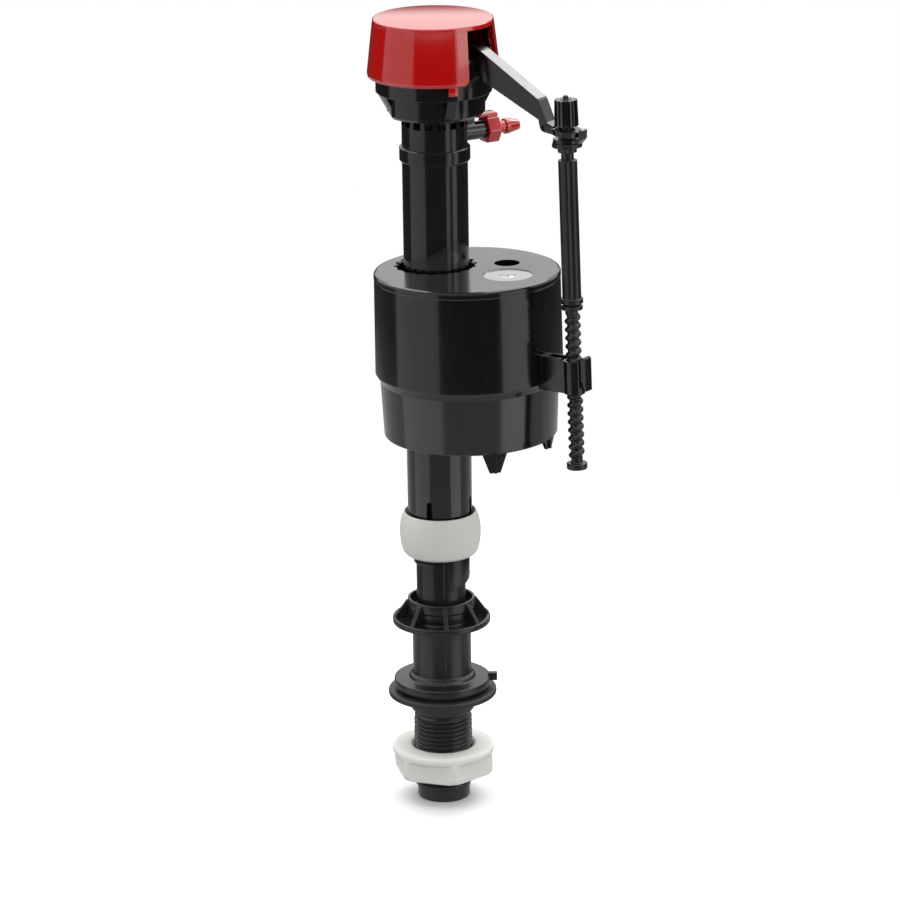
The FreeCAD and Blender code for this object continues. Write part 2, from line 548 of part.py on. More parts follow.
def float_cup():
    """Inverted cup with its riser sleeve, toothed mouth, blind vent well and dished dial mark."""
    top_inner = CUP_TOP - 2.0
    cup = revolved([
        (0, CUP_TOP), (33.5, CUP_TOP), (34.2, CUP_TOP - 0.3), (34.6, CUP_TOP - 0.9), (34.6, CUP_TOP - 2.3),
        (34.35, CUP_TOP - 2.5), (34.5, CUP_TOP - 2.8), (34.95, STEP_TOP), (34.2, STEP_TOP - 1.2),
        (33.2, STEP_LOW), (32.25, CUP_RIM + 0.5), (31.85, CUP_RIM), (30.7, CUP_RIM),
        (31.6, STEP_LOW), (33.2, STEP_TOP), (32.9, top_inner), (0, top_inner),
    ], CUP_X)
    cup = cup.fuse(tube(SLEEVE_R + CUP_WALL, 0, CUP_RIM + 2.0, CUP_TOP, SLEEVE_X))
    well = Part.makeCylinder(VENT_R + 1.15, 13.0, VENT + Vector(0, 0, CUP_TOP - 14.0))
    cup = cup.fuse(well)
    cup = cup.cut(tube(SLEEVE_R, 0, CUP_RIM - 1, CUP_TOP + 1, SLEEVE_X))
    cup = cup.cut(Part.makeCylinder(VENT_R, 15.0, VENT + Vector(0, 0, CUP_TOP - 12.8)))
    mouth = revolved([(0, CUP_TOP - 0.6), (SLEEVE_R, CUP_TOP - 0.6), (SLEEVE_R + 0.6, CUP_TOP), (0, CUP_TOP)],
                     SLEEVE_X)
    cup = cup.cut(mouth)
    tooth = block(SLEEVE_R - 1.0, SLEEVE_R + 1.2, -0.9, 0.9, CUP_TOP - 1.2, CUP_TOP + 1)
    tooth.translate(Vector(SLEEVE_X, 0, 0))
    for index in range(TOOTH_COUNT):
        cup = cup.cut(around(tooth, index * 360 / TOOTH_COUNT, SLEEVE_X))
    dish = revolved([(0, CUP_TOP - 0.45), (DIAL_R - 3.0, CUP_TOP - 0.4), (DIAL_R - 0.15, CUP_TOP - 0.35),
                     (DIAL_R, CUP_TOP), (0, CUP_TOP)])
    boss = revolved([(0, CUP_TOP - 0.5), (3.2, CUP_TOP - 0.5), (2.2, CUP_TOP - 0.15), (0, CUP_TOP - 0.15)])
    notch = block(-0.3, 0.3, -3.4, 0.6, CUP_TOP - 0.5, CUP_TOP)
    dish = dish.cut(boss.cut(notch))
    dish.translate(DIAL)
    return cup.cut(dish)


def float_bracket():
    """Bracket on the cup's wall, the round barrel on the screw and the thumb tab."""
    x = ROD_X
    arm = block(48.0, x - 1.0, -3.0, 3.0, 171.2, 184.0)
    arm = arm.cut(block(50.9, x - 3.4, -1.7, 1.7, 172.8, 185.0))
    barrel = tube(3.85, 0, 171.0, 183.4, x)
    arm = arm.cut(block(x - 3.9, x, -4.0, 4.0, 183.3, 185.0))
    web = block(x + 3.4, x + 5.2, -1.2, 1.2, 175.6, 183.4)
    tab = plate_y([(x + 4.9, 174.6), (x + 6.3, 172.6), (x + 6.3, 184.6), (x + 5.7, 185.2),
                   (x + 4.9, 185.2)], 2.0)
    return arm.fuse(barrel).fuse(web).fuse(tab)


def float_fins():
    """Two tapered tongues with a middle rib, on the wall under the rim."""
    fins = []
    for azimuth, drop in ((-38.3, 7.2), (12.1, 3.4)):
        outline = [Vector(30.4, -4.6, CUP_RIM + 1.2), Vector(30.4, 4.6, CUP_RIM + 1.2),
                   Vector(30.4, 4.6, CUP_RIM), Vector(30.4, 2.0, CUP_RIM - drop),
                   Vector(30.4, -2.0, CUP_RIM - drop), Vector(30.4, -4.6, CUP_RIM)]
        tongue = polygon_face(outline).extrude(Vector(1.2, 0, 0))
        rib = block(31.4, 32.3, -0.5, 0.5, CUP_RIM - drop, CUP_RIM + 1.0)
        fin = tongue.fuse(rib)
        fin.translate(Vector(CUP_X, 0, 0))
        fins.append(around(fin, azimuth, CUP_X))
    return fins


def whole_float():
    """Cup, bracket and fins: one moulding, bored for the rod."""
    cup = float_cup()
    for fin in float_fins():
        cup = cup.fuse(fin)
    cup.rotate(Vector(CUP_X, 0, TIP_Z), Y_AXIS, CUP_TIP)
    body = cup.fuse(float_bracket())
    body = body.cut(tube(SCREW_R + 0.1, 0, 165.0, 190.0, ROD_X))
    return hung(body.removeSplitter())


NODES = {
    "shank": shank,
    "seal_washer": seal_washer,
    "inlet_strainer": inlet_strainer,
    "lock_nut": lock_nut,
    "riser_tube": riser_tube,
    "lock_collar": lock_collar,
    "valve_body": valve_body,
    "bonnet": bonnet,
    "cap_cover": cap_cover,
    "inlet_tube": inlet_tube,
    "inlet_tube_seal": inlet_tube_seal,
    "head_seal": head_seal,
    "valve_seat": valve_seat,
    "diaphragm": diaphragm,
    "diaphragm_core": diaphragm_core,
    "metering_pin": metering_pin,
    "lever": lever,
    "pilot_seal": pilot_seal,
    "refill_nozzle": refill_nozzle,
    "refill_seal": refill_seal,
    "rod_clip": rod_clip,
    "adjusting_rod": adjusting_rod,
    "adjuster_knob": adjuster_knob,
    "float_cup": whole_float,
}

os.makedirs("parts", exist_ok=True)
for node, build in NODES.items():
    save(node, build())
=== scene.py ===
"""Float-cup fill valve for a toilet tank: its looks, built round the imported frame.

Lengths are in metres.  The origin is the centre of the tail's lower end, +Z runs up the shank and
+X points to the adjusting rod.  Outlines below are written in millimetres, as (radius, height).
"""

import math

import bmesh
import bpy
from bpy.props import FloatProperty, FloatVectorProperty, IntProperty, PointerProperty
from mathutils import Matrix, Vector


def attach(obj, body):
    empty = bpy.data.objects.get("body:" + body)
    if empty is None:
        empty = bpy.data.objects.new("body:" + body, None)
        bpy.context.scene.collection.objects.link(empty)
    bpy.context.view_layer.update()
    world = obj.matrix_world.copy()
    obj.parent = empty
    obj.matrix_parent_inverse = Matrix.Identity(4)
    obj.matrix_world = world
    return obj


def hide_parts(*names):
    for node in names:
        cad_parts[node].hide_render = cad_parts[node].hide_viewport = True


bl_info = {
    "name": "Fill valve looks",
    "version": (1, 0, 0),
    "blender": (4, 5, 0),
    "location": "View3D > Sidebar > Fill valve",
    "description": "Builds the detailed pieces, finishes and studio of a toilet fill valve",
    "category": "Object",
}

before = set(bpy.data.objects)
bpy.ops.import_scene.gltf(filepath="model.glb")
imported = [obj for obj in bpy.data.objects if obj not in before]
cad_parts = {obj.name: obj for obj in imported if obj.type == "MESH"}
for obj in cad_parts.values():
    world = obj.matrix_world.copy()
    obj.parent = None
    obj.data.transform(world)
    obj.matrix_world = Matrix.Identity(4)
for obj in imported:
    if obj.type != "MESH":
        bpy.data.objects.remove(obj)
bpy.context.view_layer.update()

MM = 0.001
ROD_X = 61.55              # the adjusting rod's line, at HANG_Z
HANG_Z = 178.0
LEAN = math.radians(-1.75)
HANG = (
    Matrix.Translation((ROD_X, 0, HANG_Z))
    @ Matrix.Rotation(LEAN, 4, "Y")
    @ Matrix.Translation((-ROD_X, 0, -HANG_Z))
)
ROD_LINE = HANG @ Matrix.Translation((ROD_X, 0, 0))
CUP_X = 15.25              # the float cup's centre, from the riser's axis
CUP_TIP_Z = 229.0          # height of the point that the cup is tipped round
CUP_TIP = math.radians(0.93)
TIP = (                    # the float hangs a little straighter than the rod
    Matrix.Translation((CUP_X, 0, CUP_TIP_Z))
    @ Matrix.Rotation(CUP_TIP, 4, "Y")
    @ Matrix.Translation((-CUP_X, 0, -CUP_TIP_Z))
)
DIAL_CENTRE = Vector((32.8, 1.2, 212.1))
DIAL_RADIUS = 9.0
PORT = Matrix.Translation((0, 0, 259.3)) @ Matrix.Rotation(math.radians(65.0), 4, "Z")
RIB_START = -48.0          # degrees; the first gusset
CAMERA_PLACE = (0.9145, -1.2515, 0.6241)
CAMERA_TURN = (1.2671, 0.0133, 0.62425)
SKY_BAND = (               # share of the way up from straight down, and brightness
    (0.0, 0.5), (0.35, 0.5), (0.365, 0.03), (0.56, 0.03),
    (0.591, 1.1), (0.72, 1.1), (0.86, 0.4), (1.0, 0.4),
)


def length(name, description, default):
    """A size property in metres, given in millimetres."""
    return FloatProperty(name=name, description=description, default=default * MM, min=0.0,
                         precision=5, unit="LENGTH", subtype="DISTANCE")


def colour(name, description, default):
    """A linear colour property."""
    return FloatVectorProperty(name=name, description=description, default=default, size=3,
                               min=0.0, max=1.0, subtype="COLOR")


def factor(name, description, default):
    """A share from 0 to 1."""
    return FloatProperty(name=name, description=description, default=default, min=0.0, max=1.0,
                         subtype="FACTOR")


class ShankSettings(bpy.types.PropertyGroup):
    """Sizes of the threaded shank, its washer and its nut."""
    thread_radius: length("Thread radius", "Crest radius of the tail's thread", 11.08)
    thread_root: length("Thread root", "Root radius of the tail's thread", 10.2)
    thread_pitch: length("Thread pitch", "Rise of one turn, 14 turns to the inch", 25.4 / 14)
    barrel_radius: length("Barrel radius", "Plain barrel above the flange", 11.1)
    upper_radius: length("Upper radius", "Upper tube that the riser slides on", 9.3)
    ring_radius: length("Ring radius", "Ribbed ring's outer radius", 18.55)
    rib_count: IntProperty(name="Ribs", description="Gussets on the ribbed ring", default=8, min=1)
    seam: length("Seam height", "How far the mould's parting line stands proud", 0.09)
    nut_apothem: length("Nut half width", "Half the nut's width across its flats", 17.3)


class HeadSettings(bpy.types.PropertyGroup):
    """Sizes of the cap, the collar and the refill nozzle."""
    cap_top: length("Cap top radius", "Radius of the cap's flat top", 22.15)
    cap_rim: length("Cap rim radius", "Radius of the skirt's lower edge", 24.5)
    cap_wall: length("Cap wall", "Thickness of the cap's skirt", 1.6)
    notch: FloatProperty(name="Notch", description="Half the angle left open for the lever",
                         default=math.radians(20.2), subtype="ANGLE", unit="ROTATION")
    collar_swell: length("Collar radius", "Largest radius of the lock collar", 15.4)
    barb: length("Barb radius", "Largest radius of the hose barb", 2.9)


class RodSettings(bpy.types.PropertyGroup):
    """Sizes of the adjusting rod and its knob."""
    screw: length("Screw radius", "Crest radius of the adjusting screw", 2.95)
    core: length("Screw core", "Core radius of the adjusting screw", 2.1)
    lead: length("Screw lead", "Rise of one turn of the adjusting screw", 25.4 / 8)
    shaft: length("Shaft radius", "Grooved shaft above the screw", 3.5)
    knob: length("Knob radius", "Fluted knob's lower radius", 4.4)
    flutes: IntProperty(name="Flutes", description="Flutes round the knob", default=16, min=3)


class FinishSettings(bpy.types.PropertyGroup):
    """Colours and gloss of the mouldings."""
    black: colour("Gloss black", "Float, head and lever", (0.0042, 0.0042, 0.0046))
    satin: colour("Satin black", "Shank, washer and rod", (0.012, 0.012, 0.0128))
    red: colour("Red", "Cap and refill nozzle", (0.52, 0.0022, 0.0012))
    white: colour("White", "Lock collar", (0.78, 0.775, 0.74))
    natural: colour("Natural nylon", "Lock nut", (0.90, 0.91, 0.87))
    gloss: factor("Gloss roughness", "Roughness of the gloss mouldings", 0.17)
    dull: factor("Satin roughness", "Roughness of the satin mouldings", 0.26)


class StageSettings(bpy.types.PropertyGroup):
    """Floor, lights and camera."""
    floor: colour("Floor", "Colour of the floor", (0.93, 0.93, 0.93))
    top_power: FloatProperty(name="Top light", description="Power of the overhead panel",
                             default=63.0, unit="POWER")
    left_power: FloatProperty(name="Left light", description="Power of the wide left panel",
                              default=1.6, unit="POWER")
    right_power: FloatProperty(name="Right light", description="Power of the narrow right panel",
                               default=1.5, unit="POWER")
    back_power: FloatProperty(name="Back light", description="Power of the small back panel",
                              default=1.1, unit="POWER")
    upper_power: FloatProperty(name="Upper light", description="Power of the upper right panel",
                               default=0.54, unit="POWER")
    lens: FloatProperty(name="Lens", description="Focal length on a 36 mm sensor", default=173.0,
                        unit="CAMERA")


# ------------------------------------------------------------------ finishes
class Value:
    """A shader socket that takes part in arithmetic."""

    def __init__(self, finish, socket):
        self.finish = finish
        self.socket = socket

    def math(self, operation, left, right):
        return self.finish.node("ShaderNodeMath", {"operation": operation}, {0: left, 1: right})

    def __add__(self, other):
        return self.math("ADD", self, other)

    def __rsub__(self, other):
        return self.math("SUBTRACT", other, self)

    def __mul__(self, other):
        return self.math("MULTIPLY", self, other)

    __radd__ = __add__
    __rmul__ = __mul__


class Finish:
    """A material on one principled shader, whose constants are set on the shader itself."""

    def __init__(self, name, constants):
        self.material = bpy.data.materials.new(name)
        self.material.use_nodes = True
        self.tree = self.material.node_tree
        self.shader = self.tree.nodes["Principled BSDF"]
        for socket, value in constants.items():
            self.shader.inputs[socket].default_value = value

    def node(self, kind, settings=None, sockets=None, output=0):
        """Add a node: its settings first, then the values or links of its sockets."""
        node = self.tree.nodes.new(kind)
        for name, value in (settings or {}).items():
            if name == "stops":
                for element, (position, tone) in zip(node.color_ramp.elements, value):
                    element.position = position
                    element.color = (tone, tone, tone, 1.0)
            else:
                setattr(node, name, value)
        for name, value in (sockets or {}).items():
            self.put(node.inputs[name], value)
        return Value(self, node.outputs[output])

    def put(self, socket, value):
        """Link a value to a socket, or set it."""
        if isinstance(value, Value):
            self.tree.links.new(value.socket, socket)
        else:
            socket.default_value = value

    def feed(self, socket, value):
        """Give the shader's socket something that varies over the surface."""
        self.put(self.shader.inputs[socket], value)

    def noise(self, scale, detail=2.0, stretch=(1.0, 1.0, 1.0)):
        """Noise in the piece's own space, stretched along an axis if asked."""
        place = self.node("ShaderNodeTexCoord", output=3)
        place = self.node("ShaderNodeMapping", None, {"Vector": place, "Scale": stretch})
        return self.node("ShaderNodeTexNoise", None,
                         {"Vector": place, "Scale": scale, "Detail": detail})

    def ramp(self, value, low, high, dark=0.0, light=1.0):
        """A grey ramp from low to high."""
        stops = ((low, dark), (high, light))
        return self.node("ShaderNodeValToRGB", {"stops": stops}, {"Fac": value})

    def mix(self, share, first, second):
        """A colour between two colours."""
        settings = {"data_type": "RGBA", "blend_type": "MIX"}
        return self.node("ShaderNodeMix", settings, {0: share, 6: first, 7: second}, output=2)


def tint(shade, amount):
    """A lighter or darker copy of a linear colour, with alpha."""
    return tuple(min(1.0, channel * amount) for channel in shade) + (1.0,)


def moulded(name, shade, roughness, edge=0.00025, coat=0.0, grain=0.3, streak=0.05, subsurface=0.0,
            spread=0.0, pale=1.35):
    """Injection-moulded plastic: eased edges lightened by a painted edge highlight, faint flow
    mottle, fine grain and light rub marks.
    """
    constants = {"IOR": 1.5, "Coat Weight": coat, "Coat Roughness": 0.06,
                 "Subsurface Weight": subsurface, "Subsurface Scale": spread}
    finish = Finish(name, constants)
    flow = finish.ramp(finish.noise(38.0, 3.0, (1.0, 1.0, 0.35)), 0.36, 0.66)
    fine = finish.noise(2600.0, 2.0)
    rub = finish.ramp(finish.noise(420.0, 4.0, (1.0, 1.0, 0.12)), 0.55, 0.72)
    rounded = finish.node("ShaderNodeBevel", {"samples": 6}, {"Radius": edge})
    face = finish.node("ShaderNodeNewGeometry", output=1)
    bend = finish.node("ShaderNodeVectorMath", {"operation": "DOT_PRODUCT"},
                       {0: rounded, 1: face}, output=1)
    # Edge mask: it lightens the base colour toward the pale tint on every edge, a painted edge
    # highlight, and makes the edges a little rougher.
    edge_highlight_mask = finish.ramp(1.0 - bend, 0.02, 0.16) * 0.35
    base = finish.mix(flow * 0.5, tint(shade, 0.93), tint(shade, 1.07))
    finish.feed("Base Color", finish.mix(edge_highlight_mask, base, tint(shade, pale)))
    finish.feed("Roughness", roughness - 0.02 + flow * 0.05 + rub * streak + edge_highlight_mask * 0.15)
    bump = finish.node("ShaderNodeBump", None, {"Strength": grain, "Distance": 0.00002,
                                                "Height": fine, "Normal": rounded})
    finish.feed("Normal", bump)
    return finish


def dial(finish, centre, radius):
    """A bright foil disc set in a moulding, round a point in the moulding's own space."""
    place = finish.node("ShaderNodeTexCoord", output=3)
    reach = finish.node("ShaderNodeVectorMath", {"operation": "DISTANCE"},
                        {0: place, 1: centre}, output=1)
    foil = finish.ramp(reach * (0.5 / radius), 0.5, 0.51, dark=1.0, light=0.0)
    black = finish.shader.inputs["Base Color"].links[0].from_socket
    finish.feed("Base Color", finish.mix(foil, Value(finish, black), tint((0.45, 0.45, 0.455), 1)))
    finish.feed("Metallic", foil)


def metal(name, shade, roughness):
    """Turned metal with faint circular tool lines."""
    finish = Finish(name, {"Metallic": 1.0})
    lines = finish.noise(1800.0, 2.0, (0.05, 0.05, 1.0))
    finish.feed("Base Color", finish.mix(lines, tint(shade, 0.9), tint(shade, 1.05)))
    finish.feed("Roughness", roughness + lines * 0.12)
    return finish


# ------------------------------------------------------------------ mesh making
def fillet(points, radius=0.25, steps=4):
    """A closed outline with its corners rounded; a point's third number is its own radius."""
    rounded = []
    count = len(points)
    for index, point in enumerate(points):
        corner = Vector(point[:2])
        before = Vector(points[index - 1][:2]) - corner
        after = Vector(points[(index + 1) % count][:2]) - corner
        reach = point[2] if len(point) > 2 else radius * (point[0] > 0)
        reach = min(reach, 0.45 * before.length, 0.45 * after.length)
        start = corner + before.normalized() * reach if reach > 0 else corner
        end = corner + after.normalized() * reach if reach > 0 else corner
        for step in range(steps + 1):
            t = step / steps
            rounded.append((1 - t) ** 2 * start + 2 * t * (1 - t) * corner + t * t * end)
    return rounded


def loft(mesh, rings, closed_round=True, closed_along=False, caps=False):
    """Join rings of points with quads; a ring is a list of vectors in millimetres."""
    made = [[mesh.verts.new(point) for point in ring] for ring in rings]
    rows = len(made)
    for row in range(rows if closed_along else rows - 1):
        low, high = made[row], made[(row + 1) % rows]
        size = len(low)
        for index in range(size if closed_round else size - 1):
            after = (index + 1) % size
            mesh.faces.new((low[index], low[after], high[after], high[index]))
    if caps:
        mesh.faces.new(list(reversed(made[0])))
        mesh.faces.new(made[-1])
    return made


def spun(mesh, outline, segments=160, radius=0.25, place=Matrix.Identity(4), shape=None):
    """Turn an outline about Z; shape(angle, r, z) may change the radius round the turn.

    An outline that starts and ends on the axis is closed there by a flat disc.
    """
    solid = outline[0][0] == 0
    rings = []
    for r, z in fillet(outline, radius):
        if r == 0:
            continue
        ring = []
        for index in range(segments):
            angle = 2 * math.pi * index / segments
            reach = shape(angle, r, z) if shape else r
            ring.append(place @ Vector((reach * math.cos(angle), reach * math.sin(angle), z)))
        rings.append(ring)
    loft(mesh, rings, closed_along=not solid, caps=solid)


def plate(mesh, outline, half, place=Matrix.Identity(4), bevel=0.2):
    """A plate of an (x, z) outline from y = -half to y = half, with eased edges."""
    part = bmesh.new()
    front = [part.verts.new((x, -half, z)) for x, z in outline]
    face = part.faces.new(front)
    moved = bmesh.ops.extrude_face_region(part, geom=[face])["geom"]
    back = [item for item in moved if isinstance(item, bmesh.types.BMVert)]
    bmesh.ops.translate(part, verts=back, vec=(0, 2 * half, 0))
    bmesh.ops.recalc_face_normals(part, faces=part.faces)
    bmesh.ops.bevel(part, geom=list(part.edges), offset=bevel, segments=3, profile=0.5,
                    affect="EDGES", clamp_overlap=True)
    bmesh.ops.transform(part, matrix=place, verts=part.verts)
    part_mesh = bpy.data.meshes.new("plate")
    part.to_mesh(part_mesh)
    part.free()
    mesh.from_mesh(part_mesh)
    bpy.data.meshes.remove(part_mesh)


def thread(mesh, root, crest, pitch, bottom, top, place=Matrix.Identity(4), segments=72,
           foot=0.46, land=0.10):
    """A right-handed helical ridge that fades into the core at both ends."""
    turns = (top - bottom) / pitch
    steps = int(turns * segments)
    rings = []
    for step in range(steps + 1):
        angle = 2 * math.pi * step / segments
        z = bottom + pitch * step / segments
        fade = min(1.0, step / (0.5 * segments), (steps - step) / (0.5 * segments))
        height = root - 0.15 + (crest - root + 0.15) * fade
        middle = (height + root) / 2
        ring = []
        for r, offset in ((root - 0.15, -foot), (middle, -(foot + land) / 2 - 0.02),
                          (height - 0.06, -land - 0.03), (height, -land * 0.5),
                          (height, land * 0.5), (height - 0.06, land + 0.03),
                          (middle, (foot + land) / 2 + 0.02), (root - 0.15, foot)):
            point = Vector((r * math.cos(angle), r * math.sin(angle), z + offset * pitch))
            ring.append(place @ point)
        rings.append(ring)
    loft(mesh, rings, closed_round=True, caps=True)


def piece(name, mesh, material, body, nodes, sharp=38.0):
    """Turn a mesh in millimetres into a piece that rides on a body and stands for its nodes."""
    bmesh.ops.scale(mesh, vec=(MM, MM, MM), verts=mesh.verts)
    bmesh.ops.recalc_face_normals(mesh, faces=mesh.faces)
    data = bpy.data.meshes.new(name)
    mesh.to_mesh(data)
    mesh.free()
    data.shade_smooth()
    data.set_sharp_from_angle(angle=math.radians(sharp))
    data.materials.append(material)
    made = bpy.data.objects.new(name, data)
    bpy.context.scene.collection.objects.link(made)
    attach(made, body)
    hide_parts(*nodes)
    return made


def turned(degrees):
    """A turn about Z."""
    return Matrix.Rotation(math.radians(degrees), 4, "Z")


# ------------------------------------------------------------------ operators
class VALVE_OT_finishes(bpy.types.Operator):
    """Make the finishes and give them to the nodes that stay as they are"""
    bl_idname = "valve.finishes"
    bl_label = "Finishes"

    def execute(self, context):
        own = context.scene.valve_finish
        gloss = moulded("gloss_black_abs", own.black, own.gloss, coat=0.35, grain=0.12)
        cup = moulded("gloss_black_float", own.black, own.gloss, coat=0.35, grain=0.12)
        spot = HANG @ TIP @ DIAL_CENTRE * MM
        into_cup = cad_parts["float_cup"].matrix_world.inverted()
        dial(cup, into_cup @ spot, DIAL_RADIUS * MM)
        satin = moulded("satin_black_plastic", own.satin, own.dull, grain=0.35)
        moulded("knob_black_plastic", own.black, 0.14, edge=0.0001, coat=1.0, grain=0.1)
        moulded("red_gloss_plastic", own.red, 0.15, coat=1.0, grain=0.12, streak=0.03, pale=1.1)
        white = moulded("white_acetal", own.white, 0.42, subsurface=0.12, spread=0.002, pale=1.03)
        moulded("natural_nylon", own.natural, 0.36, subsurface=0.55, spread=0.006, grain=0.4,
                edge=0.0006, pale=1.02)
        rubber = moulded("black_rubber", (0.020, 0.020, 0.0205), 0.5, grain=0.9)
        brass = metal("brass", (0.75, 0.56, 0.26), 0.22)
        nodes = {
            gloss: ("valve_body", "bonnet", "lever", "rod_clip", "riser_tube"),
            cup: ("float_cup",),
            satin: ("inlet_tube",),
            white: ("inlet_strainer", "valve_seat", "diaphragm_core"),
            rubber: ("inlet_tube_seal", "head_seal", "diaphragm", "pilot_seal", "refill_seal"),
            brass: ("metering_pin",),
        }
        for finish, names in nodes.items():
            for name in names:
                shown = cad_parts[name]
                shown.data.materials.clear()
                shown.data.materials.append(finish.material)
        return {"FINISHED"}


class VALVE_OT_shank(bpy.types.Operator):
    """Build the shank: helical tail thread, flange, barrel, ribbed ring and upper tube"""
    bl_idname = "valve.shank"
    bl_label = "Threaded shank"

    def execute(self, context):
        own = context.scene.valve_shank
        root, crest, pitch = own.thread_root / MM, own.thread_radius / MM, own.thread_pitch / MM
        barrel, upper, ring = own.barrel_radius / MM, own.upper_radius / MM, own.ring_radius / MM
        mesh = bmesh.new()
        spun(mesh, [
            (7.9, 0), (9.95, 0, 0.6), (9.95, 3.7), (root, 4.0), (root, 34.2), (10.9, 34.8),
            (10.9, 45.4), (18.35, 45.4), (18.35, 48.4, 0.7), (12.6, 48.4, 0.8), (12.3, 49.6, 0.6),
            (barrel, 50.4, 0.5), (barrel, 70.6, 0.5), (ring, 70.6, 0.5), (ring, 72.9, 0.5),
            (16.9, 72.9), (16.9, 72.2), (12.57, 72.2, 0.6), (12.57, 76.5), (12.77, 76.9),
            (12.77, 80.5, 0.5), (11.7, 80.5, 0.4), (11.3, 76.0, 0.6), (upper, 76.0, 0.6),
            (upper, 162.0, 0.8), (7.6, 162.0), (7.6, 30.0), (6.2, 28.6), (6.2, 8.5), (7.5, 8.5),
            (7.5, 7.3), (7.9, 7.3),
        ], segments=192)
        thread(mesh, root, crest, pitch, 4.6, 33.6)
        for index in range(own.rib_count):
            place = turned(RIB_START + index * 360 / own.rib_count)
            plate(mesh, [(12.0, 71.6), (17.9, 71.6), (17.9, 73.1), (13.27, 79.7), (12.0, 79.7)],
                  0.8, place)
        plate(mesh, [(17.35, 46.4), (20.9, 46.4), (20.9, 49.4), (17.35, 49.4)], 1.3, turned(36),
              bevel=0.3)
        self.ledge(mesh)
        self.pad(mesh, upper)
        self.seams(mesh, own.seam / MM, barrel, upper)
        piece("threaded_shank", mesh, bpy.data.materials["satin_black_plastic"], "shank",
              ["shank"])
        return {"FINISHED"}

    def ledge(self, mesh):
        """Short raised ledge under the collar."""
        outline = fillet([(8.9, 94.8), (10.2, 94.8), (10.2, 96.1), (8.9, 96.1)], 0.35)
        rings = []
        for step in range(33):
            angle = math.radians(-149.0 + 80.0 * step / 32)
            rings.append([Vector((r * math.cos(angle), r * math.sin(angle), z))
                          for r, z in outline])
        loft(mesh, rings, caps=True)

    def pad(self, mesh, radius):
        """Offset pad that blends into the tube, with a sloping lower edge."""
        place = turned(36.0)
        down = Vector((math.cos(math.radians(-118)), math.sin(math.radians(-118))))
        rings = []
        for step in range(49):
            angle = math.radians(-82.0 + 164.0 * step / 48)
            out = Vector((1.7 + radius * math.cos(angle), radius * math.sin(angle)))
            foot = 87.2 - 0.34 * out.dot(down)
            ring = []
            for share, z in ((0.86, foot + 0.1), (0.97, foot), (0.995, foot + 0.12),
                             (1.0, foot + 0.45), (1.0, 98.6), (0.985, 99.0), (0.86, 99.0)):
                ring.append(place @ Vector((out.x * share, out.y * share, z)))
            rings.append(ring)
        loft(mesh, rings, caps=True)

    def seams(self, mesh, height, barrel, upper):
        """Faint parting lines on both sides of the barrel and the upper tube."""
        for azimuth in (-47.0, 133.0):
            for radius, bottom, top in ((upper, 79.0, 100.5), (barrel, 50.2, 70.8),
                                        (12.77, 76.8, 80.4)):
                outline = [(radius - 0.4, bottom), (radius + height, bottom),
                           (radius + height, top), (radius - 0.4, top)]
                plate(mesh, outline, 0.16, turned(azimuth), bevel=0.05)


class VALVE_OT_washer_and_nut(bpy.types.Operator):
    """Build the rubber washer under the flange and the nylon nut on the tail"""
    bl_idname = "valve.washer_and_nut"
    bl_label = "Washer and nut"

    def execute(self, context):
        own = context.scene.valve_shank
        mesh = bmesh.new()
        spun(mesh, [
            (10.9, 35.4), (11.75, 35.4, 0.4), (13.9, 41.5, 0.6), (20.6, 41.5, 0.9),
            (20.6, 43.8, 0.9), (15.4, 43.8, 0.5), (15.4, 45.4, 0.3), (10.9, 45.4),
        ], segments=192)
        piece("sealing_washer", mesh, bpy.data.materials["black_rubber"], "shank",
              ["seal_washer"])
        apothem = own.nut_apothem / MM
        mesh = bmesh.new()
        rings = []
        segments = 240
        for index in range(segments):
            turn = 2 * math.pi * index / segments
            across = (math.degrees(turn) + 41.7) % 60 - 30
            flat = apothem / math.cos(math.radians(across))
            soft = -0.35 * math.log(math.exp(-flat / 0.35) + math.exp(-19.9 / 0.35))
            outline = fillet([
                (11.2, 11.3), (12.1, 10.3), (min(soft, 18.9), 10.3, 0.8), (soft, 11.7, 0.8),
                (soft, 17.7, 0.5), (19.4, 18.4, 0.6), (19.4, 20.3, 0.9), (18.6, 21.3, 0.9),
                (12.3, 21.3, 0.6), (11.2, 20.1),
            ])
            rings.append([Vector((r * math.cos(turn), r * math.sin(turn), z))
                          for r, z in outline])
        loft(mesh, rings, closed_round=True, closed_along=True)
        piece("nylon_lock_nut", mesh, bpy.data.materials["natural_nylon"], "lock_nut",
              ["lock_nut"])
        return {"FINISHED"}


class VALVE_OT_collar(bpy.types.Operator):
    """Build the white barrel-shaped lock collar"""
    bl_idname = "valve.collar"
    bl_label = "Lock collar"

    def execute(self, context):
        swell = context.scene.valve_head.collar_swell / MM
        mesh = bmesh.new()
        spun(mesh, [
            (12.25, 99.2), (12.75, 98.2), (swell - 2.1, 98.35, 0.4), (swell - 1.4, 99.1, 0.5),
            (swell - 0.95, 100.2, 0.9), (swell - 0.5, 102.0, 0.9), (swell - 0.2, 104.0, 1.0),
            (swell, 106.6, 1.3), (swell - 0.1, 108.8, 1.3), (swell - 0.4, 110.8, 1.2),
            (swell - 0.85, 112.6, 0.9), (swell - 1.35, 114.1, 0.6), (swell - 1.6, 114.8, 0.3),
            (13.2, 114.8, 0.2), (13.0, 110.8), (12.25, 110.2),
        ], segments=160)
        piece("white_lock_collar", mesh, bpy.data.materials["white_acetal"], "collar",
              ["lock_collar"], sharp=50.0)
        return {"FINISHED"}


